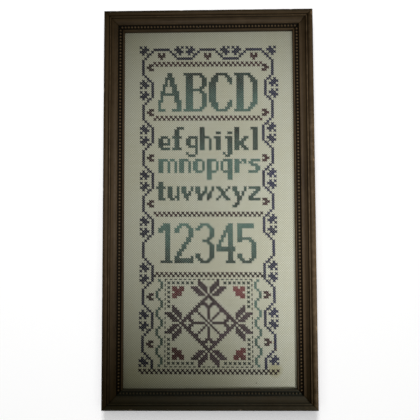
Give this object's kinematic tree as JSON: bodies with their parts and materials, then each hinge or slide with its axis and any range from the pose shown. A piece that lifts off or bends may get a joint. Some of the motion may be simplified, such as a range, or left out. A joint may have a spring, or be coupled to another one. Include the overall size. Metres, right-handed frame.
{
  "type": "framed cross stitch sampler: stitched evenweave cloth with its wooden picture frame",
  "caption": "Cross stitch sampler on evenweave cloth, stretched over a board in a narrow mitred dark wood frame with a beaded moulding.",
  "frame": {"origin": "middle of the frame's back, on the surface that it lies on", "axes": "+X across the picture, +Y up the picture, +Z out of the stitched face"},
  "size_m": [0.1622, 0.3066, 0.016],
  "materials": {
    "frame_wood": "dark walnut stain, satin, worn at the edges",
    "cloth": "cream evenweave with stranded cotton cross stitch",
    "board": "plain grey-brown card"
  },
  "bodies": {
    "root": {"rail_top": "frame_wood", "rail_bottom": "frame_wood", "rail_left": "frame_wood", "rail_right": "frame_wood", "stitched_cloth": "cloth", "mount_board": "board"}
  },
  "joints": []
}
